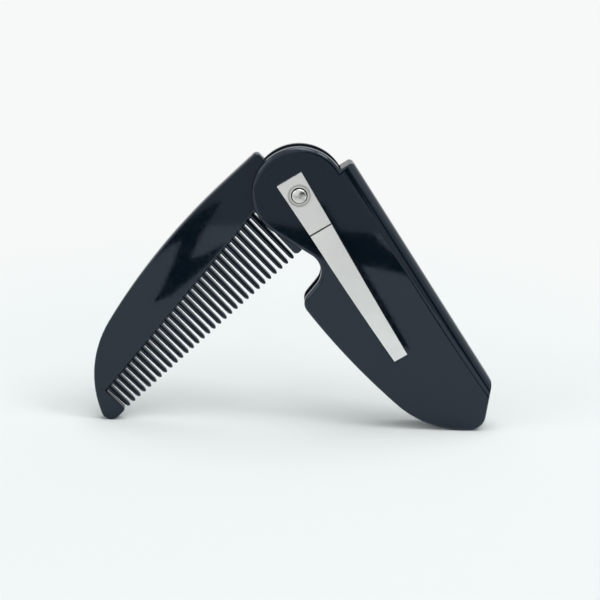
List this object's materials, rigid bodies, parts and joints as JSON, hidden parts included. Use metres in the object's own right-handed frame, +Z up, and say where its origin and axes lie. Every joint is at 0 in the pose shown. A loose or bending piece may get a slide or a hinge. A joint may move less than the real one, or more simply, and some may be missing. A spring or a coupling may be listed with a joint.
{
  "type": "folding beard comb",
  "caption": "Pocket comb with fine teeth that folds on a rivet into a slotted plastic handle case with a thumb notch and a tapered spring-steel pocket clip.",
  "frame": {"origin": "centre of the bounding box's base, on the surface that the half-open comb stands on", "axes": "+Z up, +X to the right across the spread of case and comb, -Y towards the side with the pocket clip; the rivet's axis lies along Y"},
  "size_m": [0.1242, 0.0124, 0.0898],
  "materials": {
    "case_plastic": "gloss moulded black",
    "comb_plastic": "gloss moulded black",
    "clip_steel": "satin spring steel",
    "rivet_steel": "bright plated steel",
    "washer_steel": "satin plated steel"
  },
  "bodies": {
    "handle": {"case": "case_plastic", "clip": "clip_steel", "rivet": "rivet_steel", "rivet_washer": "washer_steel"},
    "comb": {"comb": "comb_plastic"}
  },
  "joints": [
    {"name": "comb_pivot", "type": "hinge", "parent": "handle", "child": "comb", "pos_m": [0.00006, 0.00042, 0.07573], "axis": [0, -1, 0], "range_deg": [-102, 76.3]}
  ]
}
